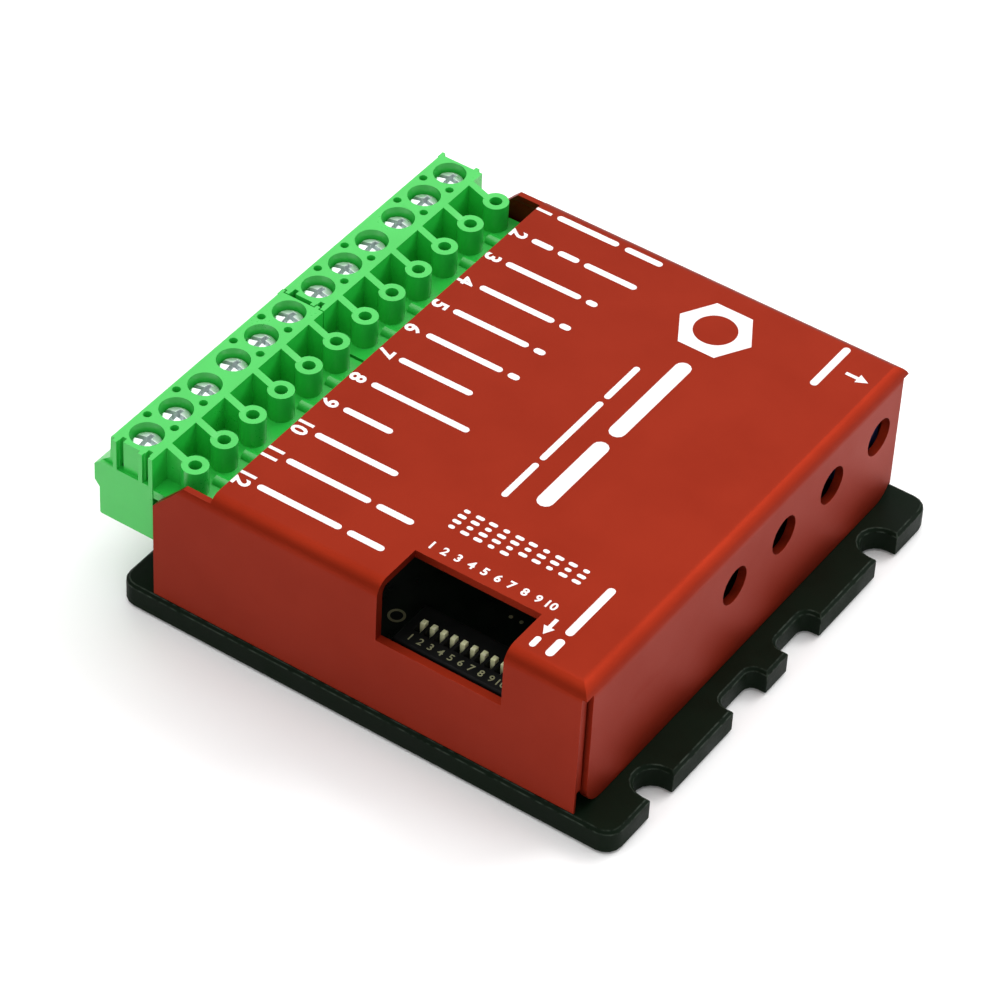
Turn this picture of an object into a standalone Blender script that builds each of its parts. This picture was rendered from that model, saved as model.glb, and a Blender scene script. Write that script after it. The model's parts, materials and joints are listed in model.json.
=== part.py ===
"""Stepper driver module: a flanged base plate with a folded cover and a circuit board between them,
two pluggable six-way terminal plugs, a ten-way option switch and a trimmer behind a hole in the end wall.

The origin is the centre of the base plate's underside. +X points at the end wall with the round holes,
+Y at the side of terminal 1, +Z up. Sizes are in millimetres, turned into metres as solids are made.
"""

import math

import bmesh
import bpy
from mathutils import Vector

MM = 0.001
GAP = 0.3
PAST = 1.0  # how far a cutter runs past the face it opens
TINY = 1e-6  # two coordinates closer than this, in metres, are the same
CIRCLE = 20
SMALL_CIRCLE = 12
HOLE_STEPS = 24
SCREW_STEPS = 16

# Base plate
PLATE = 63.5
PLATE_TOP = 3.2
PLATE_CORNER = 2.0
PLATE_EDGE = 0.35
SLOT_X, SLOT_Y, SLOT_RADIUS = 30.75, 22.48, 2.2
NOTCH_NEAR, NOTCH_FAR, NOTCH_X, NOTCH_CORNER = 2.1, 8.75, 29.6, 1.2
BOSS_RADIUS = 3.25
SINK_CLEAR = 0.2

# Cover
SHEET = 1.0
BEND = 1.8
COVER_TOP = 21.0
COVER_BOTTOM = PLATE_TOP + 0.15
COVER_SIDE = 31.4
COVER_END = 27.3
SHEET_EDGE_X = -19.9
FLANGE_X = -27.25
FLANGE_TOP = 20.2
FLANGE_SHOULDER = (-23.4, 16.0)
MOUTH_STEP = 0.05
END_WALL_Y, SIDE_WALL_X, CORNER_SLOT_TOP = 30.1, 26.7, 19.7
END_WALL_CORNER = 2.8
END_HOLES_Y = (25.9, 16.2, 6.5, -3.2)
END_HOLES_Z, END_HOLE_RADIUS = 14.4, 2.3
WINDOW_X, WINDOW_Y, WINDOW_BOTTOM = (1.55, 17.2), -24.7, 13.3
POST_RADIUS = 2.5

# Circuit board, held between the plate's bosses and the cover's posts
BOARD_X = (-27.0, 25.8)
BOARD_SIDE = 29.9
BOARD_BOTTOM, BOARD_TOP = 6.8, 8.4
FIXINGS = ((-16.5, -26.0), (-16.5, 26.0), (20.8, -26.4), (13.2, 26.0))
FIXING_RADIUS = 1.1
FIXING_HOLE = 1.4
FIXING_END = 16.0
HEAD_RADIUS, HEAD_HEIGHT, HEAD_LOW, HEAD_RIM = 2.5, 1.5, 0.15, 0.1
DRIVE_HALF, DRIVE_DEEP = 0.3, 0.8

# Terminal plugs: lengths along Y are measured from each plug's centre
PITCH = 5.0
WAYS = 6
PLUG_STEP = 30.3
PLUGS_Y = 0.4
DECK = 21.0
DECK_X = (-34.0, -28.2)
SCREW_X = -31.15
POST_X = -24.8
RING_TOP = 20.1
RING_RADIUS, PROBE_RADIUS = 1.5, 0.75
RIB_THICK = 0.9
FLOOR = 16.7
PLUG_BOTTOM = 9.7
PLUG_ENDS = (-15.45, 14.7)
RECESS = 0.45
WIRE_FACE_X = -35.3
LIP_X, LIP_BOTTOM, LIP_TOP, LIP_SHOULDER = -35.95, (13.4, 14.2), (16.4, 16.6), 17.9
SOFT = 0.15
END_RIBS_X = ((-33.45, -32.95), (-30.1, -29.55), (-28.75, -28.2))
END_GROOVES_X = ((-32.9, -32.35), (-29.45, -28.85))
GROOVE_DEEP = 1.1
HOOKS_X = ((-34.0, -33.6), (-29.4, -28.9))
HOOK_LONG = 0.45
SHOULDER_X, SHOULDER_ENDS, SHOULDER_BOTTOM = -21.3, (-15.35, 14.55), 15.6
TONGUE_X, TONGUE_HALF = (-26.2, -21.9), 13.55
SCREW_HOLE, SHANK_HOLE, SCREW_SEAT = 1.9, 1.3, 17.7
MARK_HOLE, MARK_HOLES_X, MARK_HOLES_DEEP = 0.5, (-33.05, -29.45), 1.6
RIDGE_RADIUS, RIDGE_Z, RIDGE_X = 0.9, 16.5, -23.9
CHAMBER_X, CHAMBER_Y, CHAMBER_Z = 2.1, 2.0, (10.2, 17.3)
ENTRY_Y, ENTRY_Z = 1.6, (10.9, 15.5)

# Clamp screws and the rising wire clamps on them
SCREW_HEAD, SCREW_HEAD_Z, SCREW_SOFT = 1.75, (18.0, 19.6), 0.25
SCREW_SHANK, SCREW_END = 1.1, 14.0
SLOT_WIDE, SLOT_DEEP, CROSS_SHARE = 0.55, 0.7, 0.62
CLAMP_X, CLAMP_Y, CLAMP_Z = 1.8, 1.7, (10.5, 15.5)
CLAMP_WALL, CLAMP_NUT, CLAMP_HOLE = 0.5, 1.4, 1.35

# Headers on the board, one under each plug
HEADER_X, HEADER_HALF, HEADER_TOP = (-27.1, -20.8), 14.45, 15.2
HEADER_WALL, HEADER_FLOOR = 0.6, 9.3
PIN_RADIUS, PIN_Z, PIN_HOLE = 0.5, (5.6, 14.0), 0.8

# Option switch
SWITCH_WAYS = 10
SWITCH_PITCH = 1.27
SWITCH_X, SWITCH_Y = (1.25, 15.85), (-28.0, -21.8)
SWITCH_TOP = 11.0
LEVER_Y, LEVER_TRAVEL = -24.4, 0.9
LEVER_SIZE = (0.6, 0.75)
LEVER_Z = (9.7, 11.35)
LEVER_GAP = 0.12

# Trimmer behind the end wall's last hole
TRIMMER_X, TRIMMER_HALF, TRIMMER_TOP = (18.6, 25.5), 3.3, 17.7
ROTOR_RADIUS, ROTOR_X = 1.8, (24.8, 25.8)
ROTOR_CLEAR = 0.15

# Parts on and under the board
CAPACITOR_AT, CAPACITOR_RADIUS, CAPACITOR_TOP = (-9.0, 15.0), 5.0, 18.9
CHIP_AT, CHIP_HALF, CHIP_HIGH = (-4.0, -8.0), 5.0, 1.5
INDUCTOR_AT, INDUCTOR_HALF, INDUCTOR_HIGH = (11.0, 6.0), 3.6, 4.2
TRANSISTOR_X, TRANSISTOR_Y = (-10.0, -2.0, 6.0, 14.0), 17.0
TRANSISTOR_HALF, TRANSISTOR_HIGH = (3.05, 3.3), 2.2
PAD_X, PAD_SIDE, PAD_THICK = (-14.0, 18.0), 22.0, 0.7


def clear_scene():
    for old in list(bpy.data.objects):
        bpy.data.objects.remove(old, do_unlink=True)


def material(name, colour, roughness, metallic=0.0):
    made = bpy.data.materials.new(name)
    made.use_nodes = True
    shader = made.node_tree.nodes["Principled BSDF"]
    shader.inputs["Base Color"].default_value = (*colour, 1.0)
    shader.inputs["Roughness"].default_value = roughness
    shader.inputs["Metallic"].default_value = metallic
    made.diffuse_color = (*colour, 1.0)
    return made


# ---------------------------------------------------------------- outlines


def arc(centre, radius, start, end, steps):
    """Points along an arc, in degrees anticlockwise, both ends included."""
    angles = (math.radians(start + (end - start) * i / steps) for i in range(steps + 1))
    return [(centre[0] + radius * math.cos(a), centre[1] + radius * math.sin(a)) for a in angles]


def circle(centre, radius, steps=CIRCLE):
    return arc(centre, radius, 0, 360, steps)[:-1]


def mirrored(outline, axis):
    """The outline reflected about a coordinate, still running the same way round."""
    flipped = [tuple(-c if i == axis else c for i, c in enumerate(p)) for p in outline]
    return flipped[::-1]


# ---------------------------------------------------------------- solids, as bmesh in metres


def box(x, y, z):
    bm = bmesh.new()
    bmesh.ops.create_cube(bm, size=1.0)
    spans = (x, y, z)
    for vert in bm.verts:
        vert.co = [(low + (c + 0.5) * (high - low)) * MM for c, (low, high) in zip(vert.co, spans)]
    return bm


def prism(outline, axis, low, high):
    """An outline in the plane across axis (its points in X, Y, Z order), extruded from low to high."""
    bm = bmesh.new()
    verts = []
    for point in outline:
        place = list(point)
        place.insert("XYZ".index(axis), low)
        verts.append(bm.verts.new(Vector(place) * MM))
    face = bm.faces.new(verts)
    grown = bmesh.ops.extrude_face_region(bm, geom=[face])["geom"]
    move = Vector([high - low if name == axis else 0.0 for name in "XYZ"]) * MM
    bmesh.ops.translate(bm, vec=move, verts=[v for v in grown if isinstance(v, bmesh.types.BMVert)])
    bmesh.ops.recalc_face_normals(bm, faces=bm.faces)
    return bm


def turned(profile, centre=(0.0, 0.0), steps=CIRCLE):
    """A profile of (radius, z) points, with its ends on the axis, turned about a vertical line."""
    bm = bmesh.new()
    verts = [bm.verts.new(Vector((r, 0.0, z)) * MM) for r, z in profile]
    edges = [bm.edges.new(pair) for pair in zip(verts, verts[1:])]
    bmesh.ops.spin(
        bm,
        geom=verts + edges,
        axis=(0, 0, 1),
        cent=(0, 0, 0),
        angle=2 * math.pi,
        steps=steps,
        use_merge=True,
    )
    bmesh.ops.remove_doubles(bm, verts=bm.verts, dist=1e-7)
    bmesh.ops.recalc_face_normals(bm, faces=bm.faces)
    bmesh.ops.translate(bm, vec=(centre[0] * MM, centre[1] * MM, 0), verts=bm.verts)
    return bm


def softened(bm, width, chosen, segments=1):
    """Bevels the edges that chosen(edge) picks."""
    edges = [edge for edge in bm.edges if chosen(edge)]
    bmesh.ops.bevel(
        bm,
        geom=edges,
        offset=width * MM,
        segments=segments,
        profile=0.5,
        affect="EDGES",
        clamp_overlap=True,
    )
    return bm


def level(edge, z):
    """Whether both ends of the edge lie at this height in millimetres."""
    return all(abs(vert.co.z - z * MM) < TINY for vert in edge.verts)


def mesh_of(parts, name):
    """One mesh holding every bmesh in parts, in triangles. The bmeshes are used up."""
    whole = bmesh.new()
    for part in parts:
        bmesh.ops.triangulate(part, faces=part.faces)
        scratch = bpy.data.meshes.new("scratch")
        part.to_mesh(scratch)
        part.free()
        whole.from_mesh(scratch)
        bpy.data.meshes.remove(scratch)
    mesh = bpy.data.meshes.new(name)
    whole.to_mesh(mesh)
    whole.free()
    return mesh


def shaped(name, base, *steps):
    """The mesh of base after each (operation, solids) step. Solids in one step don't touch each other."""
    scene = bpy.context.scene.collection
    body = bpy.data.objects.new("body", mesh_of([base], name))
    scene.objects.link(body)
    tools = []
    for operation, solids in steps:
        tool = bpy.data.objects.new("tool", mesh_of(solids, "tool"))
        tool.hide_render = True
        tool.display_type = "WIRE"
        scene.objects.link(tool)
        tools.append(tool)
        modifier = body.modifiers.new(operation.title(), "BOOLEAN")
        modifier.operation = operation
        modifier.solver = "EXACT"
        modifier.object = tool
    graph = bpy.context.evaluated_depsgraph_get()
    mesh = bpy.data.meshes.new_from_object(body.evaluated_get(graph))
    mesh.name = name
    for used in [body, *tools]:
        bpy.data.objects.remove(used, do_unlink=True)
    return mesh


def node(name, mesh, look, origin=(0.0, 0.0, 0.0), parent=None):
    """A named object. Its mesh is drawn about its own origin, which is placed in the part's frame."""
    if not mesh.materials:
        mesh.materials.append(look)
        mesh.shade_smooth()
        mesh.set_sharp_from_angle(angle=math.radians(32))
    made = bpy.data.objects.new(name, mesh)
    bpy.context.scene.collection.objects.link(made)
    made.location = Vector(origin) * MM
    if parent:
        made.parent = parent
        made.location = Vector(origin) * MM - parent.location
    return made


# ---------------------------------------------------------------- base plate and cover


def end_outline():
    """The plate's +X end from its lower corner to its upper one, with open slots and notches."""
    half = PLATE / 2
    corner = arc((half - PLATE_CORNER, -half + PLATE_CORNER), PLATE_CORNER, -90, 0, 4)
    slot = arc((SLOT_X, -SLOT_Y), SLOT_RADIUS, -90, -270, 9)
    slot = [(half, -SLOT_Y - SLOT_RADIUS), *slot, (half, -SLOT_Y + SLOT_RADIUS)]
    inner_x = NOTCH_X + NOTCH_CORNER
    notch = [(half, -NOTCH_FAR)]
    notch += arc((inner_x, -NOTCH_FAR + NOTCH_CORNER), NOTCH_CORNER, -90, -180, 4)
    notch += arc((inner_x, -NOTCH_NEAR - NOTCH_CORNER), NOTCH_CORNER, 180, 90, 4)
    notch += [(half, -NOTCH_NEAR)]
    lower = corner + slot + notch
    return lower + mirrored(lower, 1)


def base_plate():
    outline = end_outline()
    plate = prism(outline + mirrored(outline, 0), "Z", 0.0, PLATE_TOP)
    softened(plate, PLATE_EDGE, lambda e: level(e, 0.0) or level(e, PLATE_TOP))
    boss_top = BOARD_BOTTOM - GAP
    bosses = [prism(circle(at, BOSS_RADIUS), "Z", PLATE_TOP - 1.0, boss_top) for at in FIXINGS]
    sink, rim = HEAD_RADIUS + SINK_CLEAR, HEAD_LOW + HEAD_RIM
    hole = [(0, -PAST), (sink, -PAST), (sink, rim), (FIXING_HOLE, HEAD_HEIGHT + 2 * SINK_CLEAR)]
    hole += [(FIXING_HOLE, boss_top + PAST), (0, boss_top + PAST)]
    holes = [turned(hole, at) for at in FIXINGS]
    return shaped("base_plate", plate, ("UNION", bosses), ("DIFFERENCE", holes))


def folded_shell(end, side, bottom, top, bend):
    """A solid block with a folded sheet's bends along its top edges at the sides and the end."""
    block = box((-45.0, end), (-side, side), (bottom, top))

    def bent(edge):
        middle = (edge.verts[0].co + edge.verts[1].co) / 2
        at_side = abs(abs(middle.y) - side * MM) < TINY
        return level(edge, top) and (at_side or abs(middle.x - end * MM) < TINY)

    return softened(block, bend, bent, segments=6)


def cover():
    shell = folded_shell(COVER_END, COVER_SIDE, COVER_BOTTOM, COVER_TOP, BEND)
    inside = folded_shell(COVER_END - SHEET, COVER_SIDE - SHEET, -5.0, COVER_TOP - SHEET, BEND - SHEET)
    shoulder_x, shoulder_z = FLANGE_SHOULDER
    left = [
        (SHEET_EDGE_X, 25.0),
        (SHEET_EDGE_X, FLANGE_TOP),
        (shoulder_x, FLANGE_TOP),
        (FLANGE_X, shoulder_z),
        (FLANGE_X, 0.0),
        (-50.0, 0.0),
        (-50.0, 25.0),
    ]
    mouth_side = COVER_SIDE - SHEET - MOUTH_STEP
    mouth = box((-50.0, SHEET_EDGE_X), (-mouth_side, mouth_side), (FLANGE_TOP - SHEET, 25.0))
    window = box(WINDOW_X, (-40.0, WINDOW_Y), (WINDOW_BOTTOM, 30.0))
    inner_x, wall_y = COVER_END - SHEET - 0.5, COVER_SIDE - SHEET
    corner = [
        (inner_x, END_WALL_Y),
        (30.0, END_WALL_Y),
        (30.0, 40.0),
        (SIDE_WALL_X, 40.0),
        (SIDE_WALL_X, wall_y),
        (inner_x, wall_y),
    ]
    corners = [prism(outline, "Z", 0.0, CORNER_SLOT_TOP) for outline in (corner, mirrored(corner, 1))]
    holes = [
        prism(circle((y, END_HOLES_Z), END_HOLE_RADIUS), "X", COVER_END - 3.0, COVER_END + 3.0)
        for y in END_HOLES_Y
    ]
    tips = []
    for side in (-1, 1):
        y, z = side * END_WALL_Y, COVER_BOTTOM
        below = z - PAST
        far = side * (END_WALL_Y + PAST)
        back = side * (END_WALL_Y - END_WALL_CORNER)
        rounding = chamfer_curve(y, z, side)
        tip = [(back, below), (back, z), *rounding, (far, z + END_WALL_CORNER), (far, below)]
        tips.append(prism(tip, "X", COVER_END - SHEET - PAST, COVER_END + PAST))
    post_low = BOARD_TOP + GAP
    posts = [prism(circle(at, POST_RADIUS), "Z", post_low, COVER_TOP - SHEET / 2) for at in FIXINGS]
    threads = [prism(circle(at, FIXING_HOLE, SMALL_CIRCLE), "Z", 0.0, FIXING_END + 1.0) for at in FIXINGS]
    return shaped(
        "cover",
        shell,
        ("DIFFERENCE", [inside]),
        ("DIFFERENCE", [prism(left, "Y", -45.0, 45.0)]),
        ("DIFFERENCE", [mouth]),
        ("DIFFERENCE", [window]),
        ("DIFFERENCE", corners),
        ("DIFFERENCE", holes),
        ("DIFFERENCE", tips),
        ("UNION", posts),
        ("DIFFERENCE", threads),
    )


def chamfer_curve(y, z, side):
    """The end wall's rounded lower corner, from its underside up to its vertical edge."""
    centre = (y - side * END_WALL_CORNER, z + END_WALL_CORNER)
    points = arc(centre, END_WALL_CORNER, -90, 0, 5)
    if side < 0:
        points = [(2 * centre[0] - px, pz) for px, pz in points]
    return points


# ---------------------------------------------------------------- terminal plugs


def way_offsets():
    """The six terminals' places along Y, from the plug's centre, the lowest first."""
    return [(i - (WAYS - 1) / 2) * PITCH for i in range(WAYS)]


def boundary_offsets():
    """The boundaries between terminals that carry marks and ridges: all but the middle one."""
    return [offset + PITCH / 2 for offset in way_offsets()[:-1] if abs(offset + PITCH / 2) > 0.1]


def plug_profile():
    """The wire side of the plug in X and Z: the overhanging lip, the body and the screw deck."""
    inner, outer = DECK_X[1], DECK_X[0]
    return [
        (inner, PLUG_BOTTOM),
        (inner, DECK),
        (outer + SOFT, DECK),
        (outer, DECK - SOFT),
        (outer - SOFT, LIP_SHOULDER),
        (LIP_X + SOFT, LIP_TOP[1]),
        (LIP_X, LIP_TOP[0]),
        (LIP_X, LIP_BOTTOM[1]),
        (WIRE_FACE_X, LIP_BOTTOM[0]),
        (WIRE_FACE_X, PLUG_BOTTOM + SOFT),
        (WIRE_FACE_X + SOFT, PLUG_BOTTOM),
    ]


def plug_mesh(name):
    """One six-way plug about its centre in Y, in the part's X and Z."""
    low, high = PLUG_ENDS
    near_face = low + RECESS
    upper = (FLOOR + 0.4, DECK + PAST)
    body = prism(plug_profile(), "Y", low, high)
    shoulder = box((DECK_X[1] - 0.5, SHOULDER_X), SHOULDER_ENDS, (SHOULDER_BOTTOM, FLOOR))
    tongue = box(TONGUE_X, (-TONGUE_HALF, TONGUE_HALF), (PLUG_BOTTOM, FLOOR - 0.5))
    rib_side = [
        (DECK_X[1] - 0.5, FLOOR - 0.5),
        (DECK_X[1] - 0.5, DECK),
        (DECK_X[1], DECK),
        (POST_X - RING_RADIUS + 0.3, RING_TOP),
        (POST_X, RING_TOP),
        (POST_X, FLOOR - 0.5),
    ]
    half = RIB_THICK / 2
    ways = way_offsets()
    ribs = [prism(rib_side, "Y", y - half, y + half) for y in ways]
    posts = [prism(circle((POST_X, y), RING_RADIUS), "Z", FLOOR - 0.5, RING_TOP) for y in ways]
    ridges = [
        prism(circle((y, RIDGE_Z), RIDGE_RADIUS, SMALL_CIRCLE), "X", RIDGE_X, SHOULDER_X)
        for y in boundary_offsets()
    ]
    hooks = [box(x, (high - 0.5, high + HOOK_LONG), (FLOOR + 0.8, DECK)) for x in HOOKS_X]
    ends = [DECK_X[0] - 3.0, *[x for rib in END_RIBS_X for x in rib]]
    recesses = [
        box((ends[i], ends[i + 1]), (low - PAST, near_face), upper) for i in range(0, len(ends) - 1, 2)
    ]
    grooves = [box(x, (low - PAST, low + GROOVE_DEEP), upper) for x in END_GROOVES_X]
    screw_holes = [
        prism(circle((SCREW_X, y), SCREW_HOLE, HOLE_STEPS), "Z", SCREW_SEAT, DECK + PAST) for y in ways
    ]
    shank_holes = [
        prism(circle((SCREW_X, y), SHANK_HOLE), "Z", CHAMBER_Z[1] - PAST, SCREW_SEAT + PAST) for y in ways
    ]
    chamber_x = (SCREW_X - CHAMBER_X, SCREW_X + CHAMBER_X)
    chambers = [box(chamber_x, (y - CHAMBER_Y, y + CHAMBER_Y), CHAMBER_Z) for y in ways]
    entries = [box((-40.0, SCREW_X), (y - ENTRY_Y, y + ENTRY_Y), ENTRY_Z) for y in ways]
    probes = [
        prism(circle((POST_X, y), PROBE_RADIUS, SMALL_CIRCLE), "Z", 0.0, RING_TOP + PAST) for y in ways
    ]
    marks = [
        prism(circle((x, y), MARK_HOLE, 10), "Z", DECK - MARK_HOLES_DEEP, DECK + PAST)
        for x in MARK_HOLES_X
        for y in boundary_offsets()
    ]
    return shaped(
        name,
        body,
        ("UNION", [shoulder]),
        ("UNION", [tongue]),
        ("UNION", ribs),
        ("UNION", posts),
        ("UNION", ridges),
        ("UNION", hooks),
        ("DIFFERENCE", recesses),
        ("DIFFERENCE", grooves),
        ("DIFFERENCE", screw_holes),
        ("DIFFERENCE", marks),
        ("DIFFERENCE", shank_holes),
        ("DIFFERENCE", chambers),
        ("DIFFERENCE", entries),
        ("DIFFERENCE", probes),
    )


def clamp_screw_mesh():
    """A pan-head screw about its own axis, with a crossed slot."""
    low, high = SCREW_HEAD_Z
    soft = SCREW_SOFT
    profile = [(0, SCREW_END), (SCREW_SHANK - soft, SCREW_END), (SCREW_SHANK, SCREW_END + soft)]
    profile += [(SCREW_SHANK, low), (SCREW_HEAD, low), (SCREW_HEAD, high - soft)]
    profile += [(SCREW_HEAD - soft, high), (0, high)]
    long, short = SCREW_HEAD + PAST, SCREW_HEAD * CROSS_SHARE
    half = SLOT_WIDE / 2
    z = (high - SLOT_DEEP, high + PAST)
    slot = box((-long, long), (-half, half), z)
    cross = box((-half, half), (-short, short), z)
    screw = turned(profile, steps=SCREW_STEPS)
    return shaped("clamp_screw", screw, ("DIFFERENCE", [slot]), ("DIFFERENCE", [cross]))


def wire_clamp_mesh():
    """A rising clamp: a square frame around the wire, with a threaded block on top for the screw."""
    low, high = CLAMP_Z
    frame = box((-CLAMP_X, CLAMP_X), (-CLAMP_Y, CLAMP_Y), (low, high))
    past, half = CLAMP_X + PAST, CLAMP_Y - CLAMP_WALL
    window = box((-past, past), (-half, half), (low + CLAMP_WALL, high - CLAMP_NUT))
    thread = prism(circle((0, 0), CLAMP_HOLE, SMALL_CIRCLE), "Z", high - CLAMP_NUT - PAST, high + PAST)
    return shaped("wire_clamp", frame, ("DIFFERENCE", [window]), ("DIFFERENCE", [thread]))


def header_mesh(name):
    """An open-topped socket about its centre in Y, with a row of pins through its floor."""
    low_x, high_x = HEADER_X
    bottom = BOARD_TOP + GAP
    shell = box(HEADER_X, (-HEADER_HALF, HEADER_HALF), (bottom, HEADER_TOP))
    inner_x = (low_x + HEADER_WALL, high_x - HEADER_WALL)
    inner_y = (HEADER_WALL - HEADER_HALF, HEADER_HALF - HEADER_WALL)
    cavity = box(inner_x, inner_y, (HEADER_FLOOR, HEADER_TOP + PAST))
    pins = [prism(circle((POST_X, y), PIN_RADIUS, 8), "Z", *PIN_Z) for y in way_offsets()]
    return shaped(name, shell, ("DIFFERENCE", [cavity]), ("UNION", pins))


# ---------------------------------------------------------------- board and what is on it


def pin_places():
    """The header pins' places on the board."""
    centres = (PLUGS_Y - PLUG_STEP / 2, PLUGS_Y + PLUG_STEP / 2)
    return [(POST_X, centre + offset) for centre in centres for offset in way_offsets()]


def circuit_board():
    board = box(BOARD_X, (-BOARD_SIDE, BOARD_SIDE), (BOARD_BOTTOM, BOARD_TOP))
    fixings = [prism(circle(at, FIXING_HOLE, SMALL_CIRCLE), "Z", 0.0, BOARD_TOP + PAST) for at in FIXINGS]
    pins = [prism(circle(at, PIN_HOLE, 10), "Z", 0.0, BOARD_TOP + PAST) for at in pin_places()]
    return shaped("circuit_board", board, ("DIFFERENCE", fixings + pins))


def assembly_screw_mesh():
    """A countersunk screw about its own axis, driven from below."""
    low, tip = HEAD_LOW, FIXING_RADIUS - DRIVE_HALF
    profile = [(0, low), (HEAD_RADIUS, low), (HEAD_RADIUS, low + HEAD_RIM)]
    profile += [(FIXING_RADIUS, low + HEAD_HEIGHT), (FIXING_RADIUS, FIXING_END - DRIVE_HALF)]
    profile += [(tip, FIXING_END), (0, FIXING_END)]
    arm, half = HEAD_RADIUS * CROSS_SHARE, DRIVE_HALF
    z = (low - PAST, low + DRIVE_DEEP)
    first = box((-arm, arm), (-half, half), z)
    second = box((-half, half), (-arm, arm), z)
    screw = turned(profile, steps=SCREW_STEPS)
    return shaped("assembly_screw", screw, ("DIFFERENCE", [first]), ("DIFFERENCE", [second]))


def lever_places():
    """The levers' places along X, the first one first."""
    middle = sum(SWITCH_X) / 2
    return [middle + (i - (SWITCH_WAYS - 1) / 2) * SWITCH_PITCH for i in range(SWITCH_WAYS)]


def switch_body():
    body = box(SWITCH_X, SWITCH_Y, (BOARD_TOP + GAP, SWITCH_TOP))
    softened(body, 0.2, lambda e: level(e, SWITCH_TOP))
    half_x = LEVER_SIZE[0] / 2 + LEVER_GAP
    high_y = LEVER_Y + LEVER_SIZE[1] / 2 + LEVER_GAP
    low_y = LEVER_Y - LEVER_SIZE[1] / 2 - LEVER_TRAVEL - LEVER_GAP
    floor = LEVER_Z[0] - LEVER_GAP
    deep = (floor, SWITCH_TOP + PAST)
    wells = [box((x - half_x, x + half_x), (low_y, high_y), deep) for x in lever_places()]
    return shaped("option_switch_body", body, ("DIFFERENCE", wells))


def lever_mesh():
    half_x, half_y = LEVER_SIZE[0] / 2, LEVER_SIZE[1] / 2
    low, high = LEVER_Z
    lever = box((-half_x, half_x), (-half_y, half_y), (0.0, high - low))
    softened(lever, 0.1, lambda e: level(e, high - low))
    return mesh_of([lever], "option_lever")


def trimmer_body():
    axis_y = END_HOLES_Y[0]
    span_y = (axis_y - TRIMMER_HALF, axis_y + TRIMMER_HALF)
    body = box(TRIMMER_X, span_y, (BOARD_TOP + GAP, TRIMMER_TOP))
    softened(body, 0.3, lambda e: level(e, TRIMMER_TOP))
    seat = prism(
        circle((axis_y, END_HOLES_Z), ROTOR_RADIUS + ROTOR_CLEAR), "X", ROTOR_X[0] - ROTOR_CLEAR, 30.0
    )
    return shaped("trimmer_body", body, ("DIFFERENCE", [seat]))


def trimmer_rotor():
    """A slotted disc about the X axis, from x = 0 to its face."""
    long = ROTOR_X[1] - ROTOR_X[0]
    disc = prism(circle((0, 0), ROTOR_RADIUS), "X", 0.0, long)
    slot = box((long - 0.5, long + 1.0), (-0.25, 0.25), (-5.0, 5.0))
    return shaped("trimmer_rotor", disc, ("DIFFERENCE", [slot]))


def capacitor_mesh():
    """An upright can about its own axis, with a rolled groove near its base."""
    low, r = BOARD_TOP + GAP, CAPACITOR_RADIUS
    top = CAPACITOR_TOP
    profile = [(0, low), (r, low), (r, low + 1.2), (r - 0.4, low + 1.7), (r, low + 2.2)]
    profile += [(r, top - 0.6), (r - 0.6, top), (0, top)]
    return mesh_of([turned(profile)], "bulk_capacitor")


def chip_mesh(name, half_x, half_y, high, soft=0.2):
    block = box((-half_x, half_x), (-half_y, half_y), (0.0, high))
    softened(block, soft, lambda e: level(e, high))
    return mesh_of([block], name)


# ---------------------------------------------------------------- assembly


def add_housing(looks):
    node("base_plate", base_plate(), looks["black_anodised"])
    node("cover", cover(), looks["red_anodised"])
    node("circuit_board", circuit_board(), looks["solder_mask"])
    mesh = assembly_screw_mesh()
    for number, (x, y) in enumerate(FIXINGS, 1):
        node(f"assembly_screw_{number}", mesh, looks["black_steel"], (x, y, 0.0))


def add_terminals(looks):
    """Each plug carries its screws and wire clamps. Terminal 1 is at +Y, in the far plug."""
    screw, clamp = clamp_screw_mesh(), wire_clamp_mesh()
    plug, header = plug_mesh("terminal_plug"), header_mesh("terminal_header")
    for side, first, centre in (
        ("far", 1, PLUGS_Y + PLUG_STEP / 2),
        ("near", 1 + WAYS, PLUGS_Y - PLUG_STEP / 2),
    ):
        body = node(f"terminal_plug_{side}", plug, looks["green_plastic"], (0.0, centre, 0.0))
        node(f"terminal_header_{side}", header, looks["green_plastic"], (0.0, centre, 0.0))
        for number, offset in enumerate(reversed(way_offsets()), first):
            at = (SCREW_X, centre + offset, 0.0)
            node(f"clamp_screw_{number:02}", screw, looks["plated_steel"], at, body)
            node(f"wire_clamp_{number:02}", clamp, looks["plated_brass"], at, body)


def add_controls(looks):
    node("option_switch_body", switch_body(), looks["black_plastic"])
    lever = lever_mesh()
    for number, x in enumerate(lever_places(), 1):
        node(f"option_lever_{number:02}", lever, looks["cream_plastic"], (x, LEVER_Y, LEVER_Z[0]))
    node("trimmer_body", trimmer_body(), looks["blue_plastic"])
    axis = (ROTOR_X[0], END_HOLES_Y[0], END_HOLES_Z)
    node("trimmer_rotor", trimmer_rotor(), looks["white_plastic"], axis)


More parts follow.
